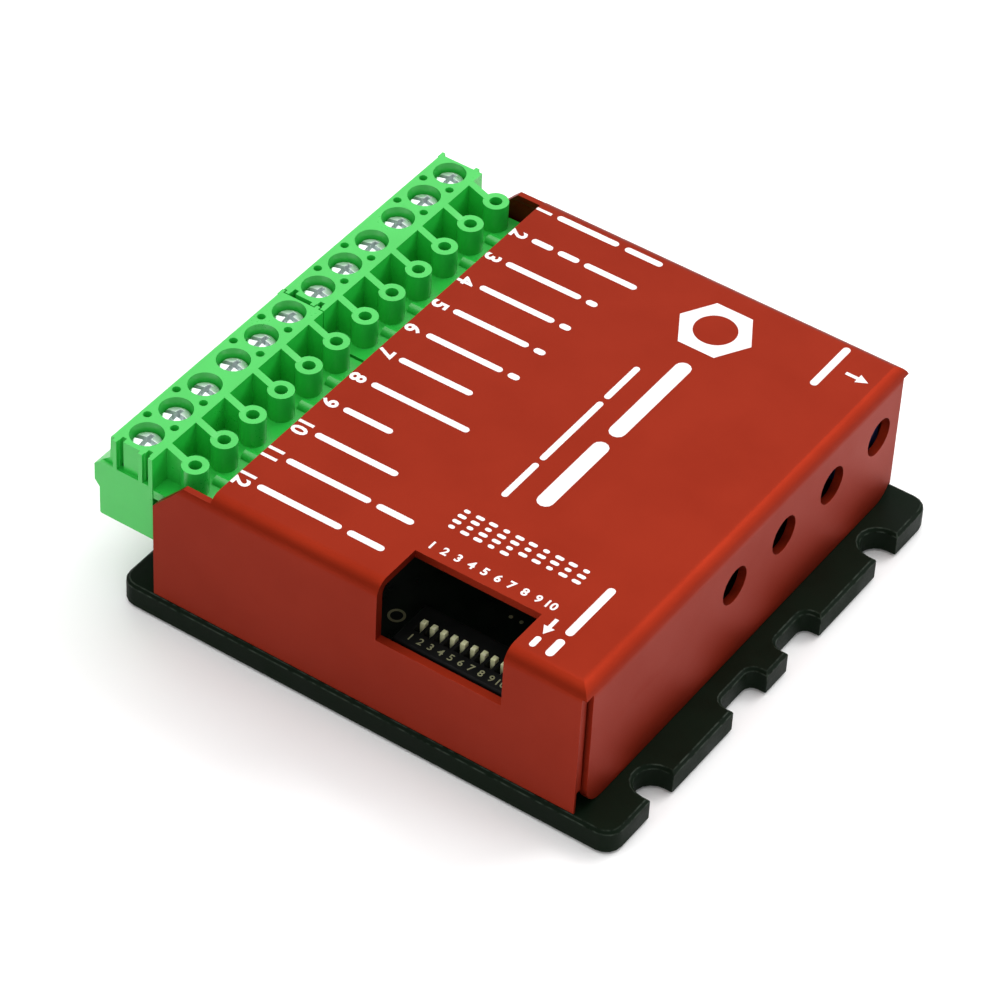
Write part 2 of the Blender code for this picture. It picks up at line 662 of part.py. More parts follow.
def add_electronics(looks):
    above = BOARD_TOP + GAP
    below = BOARD_BOTTOM - GAP - TRANSISTOR_HIGH
    node("bulk_capacitor", capacitor_mesh(), looks["can_aluminium"], (*CAPACITOR_AT, 0.0))
    chip = chip_mesh("controller_chip", CHIP_HALF, CHIP_HALF, CHIP_HIGH)
    node("controller_chip", chip, looks["black_plastic"], (*CHIP_AT, above))
    inductor = chip_mesh("filter_inductor", INDUCTOR_HALF, INDUCTOR_HALF, INDUCTOR_HIGH, soft=0.6)
    node("filter_inductor", inductor, looks["ferrite"], (*INDUCTOR_AT, above))
    transistor = chip_mesh("power_transistor", *TRANSISTOR_HALF, TRANSISTOR_HIGH)
    places = [(x, side * TRANSISTOR_Y) for side in (1, -1) for x in TRANSISTOR_X]
    for number, (x, y) in enumerate(places, 1):
        node(f"power_transistor_{number}", transistor, looks["black_plastic"], (x, y, below))
    pad_low = PLATE_TOP + GAP
    pad = box(PAD_X, (-PAD_SIDE, PAD_SIDE), (pad_low, pad_low + PAD_THICK))
    node("thermal_pad", mesh_of([pad], "thermal_pad"), looks["grey_rubber"])


def main():
    clear_scene()
    looks = {
        "black_anodised": material("black_anodised", (0.012, 0.015, 0.013), 0.45, 0.6),
        "red_anodised": material("red_anodised", (0.36, 0.03, 0.018), 0.38, 0.7),
        "green_plastic": material("green_plastic", (0.05, 0.55, 0.12), 0.4),
        "solder_mask": material("solder_mask", (0.01, 0.012, 0.011), 0.35),
        "plated_steel": material("plated_steel", (0.75, 0.77, 0.78), 0.25, 1.0),
        "plated_brass": material("plated_brass", (0.72, 0.7, 0.64), 0.3, 1.0),
        "black_steel": material("black_steel", (0.05, 0.05, 0.05), 0.4, 0.9),
        "black_plastic": material("black_plastic", (0.015, 0.015, 0.016), 0.5),
        "cream_plastic": material("cream_plastic", (0.7, 0.68, 0.5), 0.45),
        "blue_plastic": material("blue_plastic", (0.03, 0.12, 0.4), 0.45),
        "white_plastic": material("white_plastic", (0.75, 0.75, 0.72), 0.45),
        "can_aluminium": material("can_aluminium", (0.7, 0.71, 0.72), 0.35, 0.9),
        "ferrite": material("ferrite", (0.05, 0.05, 0.055), 0.6),
        "grey_rubber": material("grey_rubber", (0.3, 0.31, 0.33), 0.8),
    }
    add_housing(looks)
    add_terminals(looks)
    add_controls(looks)
    add_electronics(looks)


main()
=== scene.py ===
"""Looks of the stepper driver module: finishes, rounded edges, print and small parts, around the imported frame.

Sizes are in millimetres and become metres as meshes are made. Nothing is random: all variation comes from
noise textures and from fixed lists.
"""

import json
import math

import bmesh
import bpy
from mathutils import Matrix, Vector

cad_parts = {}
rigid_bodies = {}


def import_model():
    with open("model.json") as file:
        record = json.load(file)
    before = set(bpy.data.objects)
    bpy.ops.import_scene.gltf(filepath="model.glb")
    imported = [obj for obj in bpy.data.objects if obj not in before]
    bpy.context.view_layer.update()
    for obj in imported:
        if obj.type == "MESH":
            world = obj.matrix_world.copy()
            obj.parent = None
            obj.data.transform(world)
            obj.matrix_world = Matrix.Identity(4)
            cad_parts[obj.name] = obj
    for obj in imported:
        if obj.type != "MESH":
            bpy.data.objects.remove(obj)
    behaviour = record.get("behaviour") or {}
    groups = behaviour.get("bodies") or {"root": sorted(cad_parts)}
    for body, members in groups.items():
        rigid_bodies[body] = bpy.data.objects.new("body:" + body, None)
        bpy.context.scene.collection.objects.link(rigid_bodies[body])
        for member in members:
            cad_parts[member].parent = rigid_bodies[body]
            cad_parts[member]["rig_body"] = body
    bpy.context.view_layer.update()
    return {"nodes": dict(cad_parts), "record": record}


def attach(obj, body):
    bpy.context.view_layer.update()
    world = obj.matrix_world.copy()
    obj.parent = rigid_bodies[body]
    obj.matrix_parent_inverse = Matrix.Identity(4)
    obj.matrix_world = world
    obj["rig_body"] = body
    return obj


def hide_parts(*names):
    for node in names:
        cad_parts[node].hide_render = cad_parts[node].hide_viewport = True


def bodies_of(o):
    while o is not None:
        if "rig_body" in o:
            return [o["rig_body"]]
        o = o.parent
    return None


MM = 0.001
# in metres: points nearer than this are one point
TINY = 1e-7
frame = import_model()


# ---------------------------------------------------------------- materials


# a Mix node has its sockets for every type of data at once: these are its factor and its two colours
MIX_INPUTS = (0, 6, 7)
MIX_OUTPUT = 2

CLOUD_DETAIL = 3.0
CLOUD_SPAN = (0.35, 0.65)
GRAIN_DETAIL = 3.0
GRAIN_SPAN = (0.3, 0.7)
# scuffs are long marks along Y
SCUFF_SIZE, SCUFF_DETAIL = 3.0, 5.0
SCUFF_STRETCH = (1.0, 0.12, 1.0)
SCUFF_SPAN = (0.62, 0.72)
# patches where an edge is painted lighter: partly wear, partly a painted highlight
WEAR_AND_HIGHLIGHT_SIZE, WEAR_AND_HIGHLIGHT_DETAIL = 0.9, 4.0
WEAR_AND_HIGHLIGHT_SOFTNESS = 0.12
WEAR_AND_HIGHLIGHT_STRENGTH = 0.75
# slow waves under the grain, as multiples of its size and depth
WAVE_SIZE, WAVE_DEPTH = 14, 2.5


class Graph:
    """A material's node tree, built a node at a time. Positions are the piece's own, in its rest place."""

    def __init__(self, name):
        self.made = bpy.data.materials.new(name)
        self.made.use_nodes = True
        self.tree = self.made.node_tree
        self.shader = self.tree.nodes["Principled BSDF"]
        self.place = self.node("TexCoord").outputs["Object"]

    def node(self, kind, settings=None, **inputs):
        made = self.tree.nodes.new("ShaderNode" + kind)
        for key, value in (settings or {}).items():
            setattr(made, key, value)
        for key, value in inputs.items():
            self.feed(made.inputs[key.replace("_", " ")], value)
        return made

    def feed(self, socket, value):
        if isinstance(value, bpy.types.NodeSocket):
            self.tree.links.new(value, socket)
        else:
            socket.default_value = value

    def noise(self, size, detail=2.0, stretch=(1, 1, 1)):
        """Noise whose features are about size millimetres, drawn out where stretch is below 1."""
        scale = [share / (size * MM) for share in stretch]
        mapped = self.node("Mapping", Vector=self.place, Scale=scale)
        return self.node("TexNoise", Vector=mapped.outputs[0], Scale=1.0, Detail=detail).outputs["Fac"]

    def span(self, value, low, high, to_low=0.0, to_high=1.0):
        """A value's range from low to high, made into one from to_low to to_high."""
        made = self.node("MapRange", Value=value, To_Min=to_low, To_Max=to_high, From_Min=low, From_Max=high)
        return made.outputs["Result"]

    def mixed(self, share, first, second):
        made = self.node("Mix", {"data_type": "RGBA"})
        for socket, value in zip(MIX_INPUTS, (share, first, second)):
            self.feed(made.inputs[socket], value)
        return made.outputs[MIX_OUTPUT]

    def math(self, operation, first, second):
        made = self.node("Math", {"operation": operation})
        self.feed(made.inputs[0], first)
        self.feed(made.inputs[1], second)
        return made.outputs[0]

    def bump(self, height, depth, under=None):
        made = self.node("Bump", Height=height, Distance=depth * MM, Strength=1.0)
        if under:
            self.feed(made.inputs["Normal"], under)
        return made.outputs["Normal"]

    def out(self, **inputs):
        for key, value in inputs.items():
            self.feed(self.shader.inputs[key.replace("_", " ")], value)
        return self.made


def opaque(colour):
    return (*colour, 1.0)


def finish(
    name,
    colour,
    second,
    rough,
    metallic=0.0,
    *,
    cloud,
    grain,
    depth,
    wear_and_highlight,
    stretch=(1, 1, 1),
    rough_swing=0.06,
    wear_and_highlight_rough=0.3,
    wear_and_highlight_share=0.5,
    **fixed,
):
    """The face and edge materials of one finish: clouded colour, fine grain, light scuffs, and edges worn and
    painted lighter as a highlight.
    """
    looks = []
    for part in ("face", "edge"):
        g = Graph(f"{name}_{part}")
        clouds = g.span(g.noise(cloud, CLOUD_DETAIL), *CLOUD_SPAN)
        tint = g.mixed(clouds, opaque(colour), opaque(second))
        fine = g.noise(grain, GRAIN_DETAIL, stretch)
        scuffs = g.span(g.noise(SCUFF_SIZE, SCUFF_DETAIL, SCUFF_STRETCH), *SCUFF_SPAN)
        level = g.span(clouds, 0.0, 1.0, rough - rough_swing, rough + rough_swing)
        level = g.math("ADD", level, g.span(fine, *GRAIN_SPAN, -rough_swing / 2, rough_swing / 2))
        level = g.math("ADD", level, g.math("MULTIPLY", scuffs, rough_swing))
        if part == "edge":
            # edge strips take a lighter colour in patches: partly wear, partly a painted highlight along the
            # edges
            middle = 1.0 - wear_and_highlight_share
            wear_and_highlight_patches = g.span(g.noise(WEAR_AND_HIGHLIGHT_SIZE, WEAR_AND_HIGHLIGHT_DETAIL), middle - WEAR_AND_HIGHLIGHT_SOFTNESS, middle + WEAR_AND_HIGHLIGHT_SOFTNESS)
            tint = g.mixed(g.math("MULTIPLY", wear_and_highlight_patches, WEAR_AND_HIGHLIGHT_STRENGTH), tint, opaque(wear_and_highlight))
            level = g.math("SUBTRACT", level, g.math("MULTIPLY", wear_and_highlight_patches, rough - wear_and_highlight_rough))
        normal = g.bump(fine, depth)
        normal = g.bump(g.noise(grain * WAVE_SIZE), depth * WAVE_DEPTH, normal)
        looks.append(g.out(Base_Color=tint, Roughness=level, Normal=normal, Metallic=metallic, **fixed))
    return looks


# each finish: its two colours, roughness and metal share, then sizes in millimetres; its edge colour is wear and
# a painted highlight in one
LOOKS = {
    # the cover's edges are painted a lighter red: wear, and a painted highlight
    "red_anodised": finish(
        "red_anodised", (0.262, 0.0200, 0.0058), (0.250, 0.0185, 0.0053), 0.53, 0.93,
        cloud=9.0, grain=0.16, depth=0.0014, rough_swing=0.02,
        wear_and_highlight=(0.42, 0.06, 0.035), wear_and_highlight_share=0.42, wear_and_highlight_rough=0.44, Specular_IOR_Level=0.25,
    ),
    # the plate's edges are painted a lighter grey-green: a painted highlight on its chamfers, as well as wear
    "black_anodised": finish(
        "black_anodised", (0.0022, 0.0060, 0.0024), (0.0032, 0.0080, 0.0034), 0.50, 0.0,
        cloud=5.0, grain=0.3, depth=0.006, rough_swing=0.08,
        wear_and_highlight=(0.038, 0.050, 0.038), wear_and_highlight_share=0.50, wear_and_highlight_rough=0.42, Specular_IOR_Level=0.05,
    ),
    # the plug's edges are painted a lighter green: a painted highlight along them, as well as wear
    "green_plastic": finish(
        "green_plastic", (0.018, 0.50, 0.052), (0.015, 0.47, 0.046), 0.34,
        cloud=5.0, grain=0.3, depth=0.0022, rough_swing=0.05,
        wear_and_highlight=(0.11, 0.66, 0.19), wear_and_highlight_share=0.4, wear_and_highlight_rough=0.28, Specular_IOR_Level=0.75,
    ),
    "solder_mask": finish(
        "solder_mask", (0.004, 0.008, 0.005), (0.006, 0.011, 0.007), 0.34,
        cloud=3.0, grain=0.5, depth=0.003, wear_and_highlight=(0.10, 0.11, 0.07), wear_and_highlight_share=0.5,
        Specular_IOR_Level=0.25,
    ),
    "plated_steel": finish(
        "plated_steel", (0.86, 0.92, 0.91), (0.74, 0.80, 0.80), 0.36, 0.80,
        cloud=0.9, grain=0.12, depth=0.002, stretch=(0.2, 1, 1), rough_swing=0.08,
        wear_and_highlight=(0.90, 0.92, 0.92), wear_and_highlight_share=0.5, wear_and_highlight_rough=0.28,
    ),
    "plated_brass": finish(
        "plated_brass", (0.70, 0.67, 0.58), (0.60, 0.56, 0.46), 0.28, 1.0,
        cloud=1.2, grain=0.15, depth=0.002, wear_and_highlight=(0.78, 0.66, 0.40), wear_and_highlight_share=0.35, wear_and_highlight_rough=0.22,
    ),
    "black_steel": finish(
        "black_steel", (0.030, 0.030, 0.032), (0.045, 0.044, 0.043), 0.36, 0.9,
        cloud=1.5, grain=0.2, depth=0.003, wear_and_highlight=(0.30, 0.29, 0.28), wear_and_highlight_share=0.4, wear_and_highlight_rough=0.28,
    ),
    "black_plastic": finish(
        "black_plastic", (0.0045, 0.0048, 0.0046), (0.0065, 0.0068, 0.0066), 0.50,
        cloud=3.0, grain=0.18, depth=0.004, wear_and_highlight=(0.016, 0.017, 0.016), wear_and_highlight_share=0.4, wear_and_highlight_rough=0.45,
        Specular_IOR_Level=0.15,
    ),
    "cream_plastic": finish(
        "cream_plastic", (0.86, 0.88, 0.52), (0.78, 0.80, 0.45), 0.40,
        cloud=0.8, grain=0.12, depth=0.002, wear_and_highlight=(0.80, 0.78, 0.62), wear_and_highlight_share=0.4, wear_and_highlight_rough=0.34,
    ),
    "blue_plastic": finish(
        "blue_plastic", (0.02, 0.10, 0.36), (0.016, 0.085, 0.31), 0.40,
        cloud=3.0, grain=0.2, depth=0.003, wear_and_highlight=(0.08, 0.20, 0.50), wear_and_highlight_share=0.4, wear_and_highlight_rough=0.34,
    ),
    "white_plastic": finish(
        "white_plastic", (0.74, 0.73, 0.69), (0.68, 0.67, 0.63), 0.42,
        cloud=2.0, grain=0.2, depth=0.003, wear_and_highlight=(0.82, 0.81, 0.78), wear_and_highlight_share=0.4, wear_and_highlight_rough=0.36,
    ),
    "can_aluminium": finish(
        "can_aluminium", (0.66, 0.67, 0.69), (0.58, 0.60, 0.62), 0.30, 1.0,
        cloud=3.0, grain=0.25, depth=0.002, stretch=(1, 1, 0.08), wear_and_highlight=(0.8, 0.8, 0.82), wear_and_highlight_rough=0.24,
    ),
    "ferrite": finish(
        "ferrite", (0.030, 0.030, 0.033), (0.045, 0.044, 0.046), 0.62,
        cloud=1.6, grain=0.2, depth=0.012, wear_and_highlight=(0.09, 0.09, 0.09), wear_and_highlight_share=0.5, wear_and_highlight_rough=0.5,
    ),
    "grey_rubber": finish(
        "grey_rubber", (0.24, 0.25, 0.27), (0.28, 0.29, 0.31), 0.72,
        cloud=2.5, grain=0.4, depth=0.012, wear_and_highlight=(0.34, 0.35, 0.37), wear_and_highlight_share=0.4, wear_and_highlight_rough=0.66,
    ),
    "ink": finish(
        "ink", (0.86, 0.80, 0.79), (0.78, 0.71, 0.70), 0.52,
        cloud=1.4, grain=0.2, depth=0.002, wear_and_highlight=(0.74, 0.50, 0.47), wear_and_highlight_share=0.3, wear_and_highlight_rough=0.5,
    ),
    "switch_ink": finish(
        "switch_ink", (0.36, 0.36, 0.20), (0.28, 0.28, 0.15), 0.55,
        cloud=0.6, grain=0.15, depth=0.002, wear_and_highlight=(0.2, 0.2, 0.12), wear_and_highlight_share=0.3, wear_and_highlight_rough=0.5,
    ),
    "solder": finish(
        "solder", (0.70, 0.70, 0.68), (0.58, 0.58, 0.57), 0.26, 1.0,
        cloud=0.7, grain=0.2, depth=0.004, wear_and_highlight=(0.8, 0.8, 0.8), wear_and_highlight_share=0.3, wear_and_highlight_rough=0.2,
    ),
    "copper_wire": finish(
        "copper_wire", (0.55, 0.20, 0.09), (0.46, 0.15, 0.06), 0.30, 1.0,
        cloud=1.0, grain=0.2, depth=0.002, wear_and_highlight=(0.72, 0.34, 0.18), wear_and_highlight_share=0.3, wear_and_highlight_rough=0.24,
    ),
    "ceramic": finish(
        "ceramic", (0.30, 0.22, 0.14), (0.24, 0.17, 0.10), 0.45,
        cloud=1.0, grain=0.15, depth=0.003, wear_and_highlight=(0.4, 0.32, 0.22), wear_and_highlight_share=0.3, wear_and_highlight_rough=0.4,
    ),
}


# ---------------------------------------------------------------- meshes and pieces


# degrees between faces: shaded as sharp, rounded, on a print's rim, and taken as one flat face
SHARP_ANGLE, ROUNDED_ANGLE, RIM_ANGLE, FLAT_ANGLE = 32.0, 30.0, 45.0, 0.6
# in metres: how near a CAD mesh's points are joined
WELD = 2e-6
WIRE_SIDES = 8


def shade(mesh):
    """Smooth shading with sharp edges kept, free of any normals that came with the mesh."""
    for stale in ("custom_normal", "sharp_face", "sharp_edge"):
        if stale in mesh.attributes:
            mesh.attributes.remove(mesh.attributes[stale])
    mesh.shade_smooth()
    mesh.set_sharp_from_angle(angle=math.radians(SHARP_ANGLE))


def piece(name, bm, looks, body, replaces=(), weighted=True):
    """An object of its own made from a bmesh, riding on a CAD body."""
    bmesh.ops.dissolve_degenerate(bm, dist=TINY, edges=bm.edges)
    bmesh.ops.recalc_face_normals(bm, faces=bm.faces)
    mesh = bpy.data.meshes.new(name)
    bm.to_mesh(mesh)
    bm.free()
    for look in looks:
        mesh.materials.append(look)
    shade(mesh)
    made = bpy.data.objects.new(name, mesh)
    bpy.context.scene.collection.objects.link(made)
    if weighted:
        modifier = made.modifiers.new("Normals", "WEIGHTED_NORMAL")
        modifier.keep_sharp = True
    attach(made, body)
    if replaces:
        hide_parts(*replaces)
    return made


def rounded(bm, width, segments=2, edges=None):
    """Rounds edges: those given, or the sharp outward ones. The strips take the edge material."""
    if edges is None:
        limit = math.radians(ROUNDED_ANGLE)
        edges = [e for e in bm.edges if e.is_manifold and e.calc_face_angle_signed() > limit]
    bmesh.ops.bevel(
        bm,
        geom=edges,
        offset=width * MM,
        segments=segments,
        profile=0.5,
        affect="EDGES",
        clamp_overlap=True,
        material=1,
    )
    return bm


def from_node(node):
    """A CAD node's mesh, joined up and with each flat face whole."""
    bm = bmesh.new()
    bm.from_mesh(frame["nodes"][node].data)
    for face in bm.faces:
        face.material_index = 0
    bmesh.ops.remove_doubles(bm, verts=bm.verts, dist=WELD)
    bmesh.ops.dissolve_limit(
        bm,
        angle_limit=math.radians(FLAT_ANGLE),
        use_dissolve_boundaries=False,
        verts=bm.verts,
        edges=bm.edges,
    )
    return bm


def body_of(node):
    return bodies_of(frame["nodes"][node])[0]


def slot_of(node):
    return next(row["material_slot"] for row in frame["record"]["subparts"] if row["node"] == node)


def refine(node, width, extra=(), pick=None, change=None):
    """A finished piece in place of a CAD node: the same shape with rounded edges.

    change alters the mesh first. pick gives a face's material from its middle, in millimetres.
    """
    bm = from_node(node)
    if change:
        change(bm)
    if pick:
        for face in bm.faces:
            face.material_index = pick(face.calc_center_median() / MM)
    rounded(bm, width)
    slot = slot_of(node)
    return piece(f"{node}_shape", bm, [*LOOKS[slot], *extra], body_of(node), [node])


def add(bm, other, look=0):
    """Puts another bmesh's faces into bm, with their material moved up by look."""
    for face in other.faces:
        face.material_index += look
    scratch = bpy.data.meshes.new("scratch")
    other.to_mesh(scratch)
    other.free()
    bm.from_mesh(scratch)
    bpy.data.meshes.remove(scratch)


def block(x, y, z, soft):
    """A box between two coordinates on each axis, with rounded edges."""
    bm = bmesh.new()
    bmesh.ops.create_cube(bm, size=1.0)
    for vert in bm.verts:
        vert.co = [(low + (c + 0.5) * (high - low)) * MM for c, (low, high) in zip(vert.co, (x, y, z))]
    return rounded(bm, soft)


def plate(outline, low, high):
    """An outline in X and Y, raised from low to high."""
    bm = bmesh.new()
    face = bm.faces.new([bm.verts.new(Vector((x, y, low)) * MM) for x, y in outline])
    grown = bmesh.ops.extrude_face_region(bm, geom=[face])["geom"]
    raised = [v for v in grown if isinstance(v, bmesh.types.BMVert)]
    bmesh.ops.translate(bm, vec=(0, 0, (high - low) * MM), verts=raised)
    return bm


def turned(profile, centre, steps):
    """A closed profile of (radius, height) points, turned about an upright axis through centre into a ring."""
    bm = bmesh.new()
    rings = []
    for radius, height in profile:
        ring = []
        for i in range(steps):
            a = math.tau * i / steps
            local = Vector((radius * math.cos(a), radius * math.sin(a), height))
            ring.append(bm.verts.new((Vector(centre) + local) * MM))
        rings.append(ring)
    for first, second in zip(rings, rings[1:]):
        for i in range(steps):
            j = (i + 1) % steps
            bm.faces.new((first[i], first[j], second[j], second[i]))
    bmesh.ops.remove_doubles(bm, verts=bm.verts, dist=TINY)
    return bm


def pipe(points, radius):
    """A round wire along points."""
    bm = bmesh.new()
    rings, side = [], None
    for i, at in enumerate(points):
        near, far = points[max(i - 1, 0)], points[min(i + 1, len(points) - 1)]
        along = (Vector(far) - Vector(near)).normalized()
        if side is None:
            side = along.orthogonal()
        side = (side - along * side.dot(along)).normalized()
        other = along.cross(side)
        angles = [math.tau * k / WIRE_SIDES for k in range(WIRE_SIDES)]
        spots = [Vector(at) + (side * math.cos(a) + other * math.sin(a)) * radius for a in angles]
        rings.append([bm.verts.new(spot * MM) for spot in spots])
    for first, second in zip(rings, rings[1:]):
        for k in range(WIRE_SIDES):
            j = (k + 1) % WIRE_SIDES
            bm.faces.new((first[k], first[j], second[j], second[k]))
    bm.faces.new(rings[0])
    bm.faces.new(rings[-1])
    return bm


# ---------------------------------------------------------------- the CAD shapes, finished


# how far edges are rounded, by node or by family of nodes
EDGES = {
    "base_plate": 0.12,
    "cover": 0.12,
    "circuit_board": 0.05,
    "thermal_pad": 0.1,
    "option_switch_body": 0.05,
    "trimmer_body": 0.08,
    "trimmer_rotor": 0.06,
    "bulk_capacitor": 0.1,
    "controller_chip": 0.06,
    "filter_inductor": 0.12,
}
EDGE_OF_FAMILY = {
    "terminal_plug": 0.09,
    "terminal_header": 0.06,
    "clamp_screw": 0.06,
    "wire_clamp": 0.07,
    "assembly_screw": 0.05,
    "option_lever": 0.05,
    "power_transistor": 0.08,
}


def family(node):
    """The family a node belongs to, or None."""
    return next((stem for stem in EDGE_OF_FAMILY if node.startswith(stem)), None)


# the header pins: where they stand, and how near a face's middle lies to the axis of the pin it is part of
PIN_X, PIN_REACH = -24.8, 0.56
PLUG_CENTRES = (15.55, -14.75)
WAYS, WAY_PITCH = 6, 5.0
WAY_OFFSETS = [(i - (WAYS - 1) / 2) * WAY_PITCH for i in range(WAYS)]
PIN_YS = [centre + offset for centre in PLUG_CENTRES for offset in WAY_OFFSETS]


def header_pin(at):
    """The material of a header's face: its pins are plated, told by how near they lie to a pin's axis."""
    nearest = min(math.hypot(at.x - PIN_X, at.y - y) for y in PIN_YS)
    return 2 if nearest < PIN_REACH else 0


# how a screw's head rises above the CAD's flat one: at its rim, and more at its middle
HEAD_FLAT, HEAD_RADIUS, HEAD_RIM_RISE, HEAD_CROWN = 19.6, 1.75, 0.25, 0.45
# how far below the flat the points lie that still rise with it
HEAD_DEPTH = 0.3


def crowned(bm):
    """Crowns a clamp screw's head, as pan heads are. The CAD's head is flat."""
    xs, ys = [v.co.x for v in bm.verts], [v.co.y for v in bm.verts]
    middle_x, middle_y = 0.5 * (min(xs) + max(xs)) / MM, 0.5 * (min(ys) + max(ys)) / MM
    for v in bm.verts:
        if v.co.z > (HEAD_FLAT - HEAD_DEPTH) * MM:
            out = math.hypot(v.co.x / MM - middle_x, v.co.y / MM - middle_y) / HEAD_RADIUS
            v.co.z += (HEAD_RIM_RISE + HEAD_CROWN * max(0.0, 1.0 - out * out)) * MM


def finish_cad_nodes():
    for node in frame["nodes"]:
        kind = family(node)
        width = EDGES.get(node) or EDGE_OF_FAMILY[kind]
        if kind == "terminal_header":
            refine(node, width, extra=LOOKS["solder"], pick=header_pin)
        elif kind == "clamp_screw":
            refine(node, width, change=crowned)
        else:
            refine(node, width)


# ---------------------------------------------------------------- print on the cover


# the cover's top, and the print that reaches into it and stands out of it
TOP = 21.0
INK = INK_LOW, INK_HIGH = TOP - 0.02, TOP + 0.015
INK_ROUNDING = 0.006
# rows of words, one for each terminal: where the first one is along Y, and how far apart they are
ROW_START, ROW_STEP = 28.88, 5.058
ROW_LEFT, ROW_RISE, ROW_THICK = -17.1, 0.1, 0.85
ROW_NUMBER_X, ROW_NUMBER_HIGH = -18.85, 2.0
# the end of each row of words along X, and how many letters each word has
ROWS = (
    (-3.2, (5, 3)),
    (-3.3, (2, 2, 5)),
    (-5.1, (7, 1)),
    (-5.2, (7, 1)),
    (-5.1, (7, 1)),
    (-5.0, (7, 1)),
    (-7.6, (7,)),
    (-4.5, (9,)),
    (-10.8, (4,)),
    (-6.5, (6,)),
    (-0.9, (7, 3)),
    (-1.0, (7, 3)),
)
# bars along Y, for words printed that way: start, end, place along X, thickness and letters in each word
UPRIGHT_BARS = (
    (16.8, -11.4, 8.0, 1.9, (6, 5)),
    (13.1, -12.6, 4.1, 0.75, (5, 9, 5)),
    (29.6, 22.0, 20.5, 0.9, (6,)),
    (-17.2, -29.3, 21.0, 0.95, (6, 2)),
    (-27.5, -29.2, 18.9, 0.7, (2,)),
)
# tail, tip, thickness and length of head, and half a head's width as a share of its length
ARROWS = (
    ((22.4, 25.9), (25.2, 25.9), 0.45, 1.3),
    ((18.9, -24.4), (18.9, -27.0), 0.45, 1.2),
)
ARROW_SPREAD = 0.55
# the mark's middle, its corners' and its hole's radius, and the steps along each side
MARK_AT, MARK_REACH, MARK_HOLE = (7.4, 23.3), 4.6, 2.5
MARK_SIDES, MARK_STEPS = 6, 8
# the table beside the switch window: its first dash, the steps across and down, its dashes, how many lines the
# first columns and the others have, and the numbers under it
TABLE_AT, TABLE_STEPS = (2.5, -16.75), (1.65, -0.95)
TABLE_THICK, TABLE_WIDE, TABLE_NARROW, NARROW_EVERY = 0.5, 1.05, 0.75, 3
TABLE_COLUMNS, TALL_COLUMNS, TALL, SHORT = 10, 5, 4, 3
TABLE_NUMBER_Y, TABLE_NUMBER_HIGH = -23.05, 1.15
# the space between two words, in letters
SPACE = 0.55
# steps round each end of a bar
END_STEPS = 6
# the font's curves are made in its own units, where a letter is about 1 high
FONT_STEPS, FONT_WELD = 3, 1e-5


def capsule(centre, length, thick, turn=0.0):
    """A round-ended bar's outline about a centre, turned by degrees."""
    half, r = max(length - thick, 0.0) / 2, thick / 2
    points = []
    for side, start in ((1, -90), (-1, 90)):
        for i in range(END_STEPS + 1):
            a = math.radians(start + 180 * i / END_STEPS)
            points.append(Vector((side * half + r * math.cos(a), r * math.sin(a))))
    spin = Matrix.Rotation(math.radians(turn), 2)
    return [spin @ p + Vector(centre) for p in points]


def bars(bm, start, end, across, thick, words, turn=0.0):
    """A line of plain bars, one for each word, from start to end along X, or along Y when turned."""
    total = sum(words) + SPACE * (len(words) - 1)
    unit = (end - start) / total
    along = start
    for letters in words:
        reach = unit * letters
        middle = along + reach / 2
        centre = (middle, across) if turn == 0.0 else (across, middle)
        add(bm, plate(capsule(centre, abs(reach), thick, turn), *INK))
        along += reach + unit * SPACE


def numeral(bm, text, height, centre, turn, heights=INK, bold=0.03):
    """A number in the built-in font, raised from the first of two heights to the second, about a centre."""
    low, high = heights
    curve = bpy.data.curves.new("numeral", "FONT")
    curve.body = text
    curve.resolution_u = FONT_STEPS
    curve.offset = bold
    holder = bpy.data.objects.new("numeral", curve)
    bpy.context.scene.collection.objects.link(holder)
    flat = bpy.data.meshes.new_from_object(holder.evaluated_get(bpy.context.evaluated_depsgraph_get()))
    bpy.data.objects.remove(holder, do_unlink=True)
    bpy.data.curves.remove(curve)
    made = bmesh.new()
    made.from_mesh(flat)
    bpy.data.meshes.remove(flat)
    bmesh.ops.remove_doubles(made, verts=made.verts, dist=FONT_WELD)
    xs, ys = [v.co.x for v in made.verts], [v.co.y for v in made.verts]
    middle = Vector(((min(xs) + max(xs)) / 2, (min(ys) + max(ys)) / 2, 0))
    scale = height / (max(ys) - min(ys))
    spin = Matrix.Rotation(math.radians(turn), 3, "Z")
    for v in made.verts:
        v.co = (spin @ ((v.co - middle) * scale) + Vector((*centre, low))) * MM
    grown = bmesh.ops.extrude_face_region(made, geom=made.faces[:])["geom"]
    raised = [v for v in grown if isinstance(v, bmesh.types.BMVert)]
    bmesh.ops.translate(made, vec=(0, 0, (high - low) * MM), verts=raised)
    add(bm, made)


def arrow(bm, tail, tip, thick, head):
    """A plain arrow from tail to tip."""
    tail, tip = Vector(tail), Vector(tip)
    along = (tip - tail).normalized()
    side = Vector((-along.y, along.x))
    neck = tip - along * head
    half, barb = side * thick / 2, side * head * ARROW_SPREAD
    outline = [tail + half, tail - half, neck - half, neck - barb, tip, neck + barb, neck + half]
    add(bm, plate(outline, *INK))


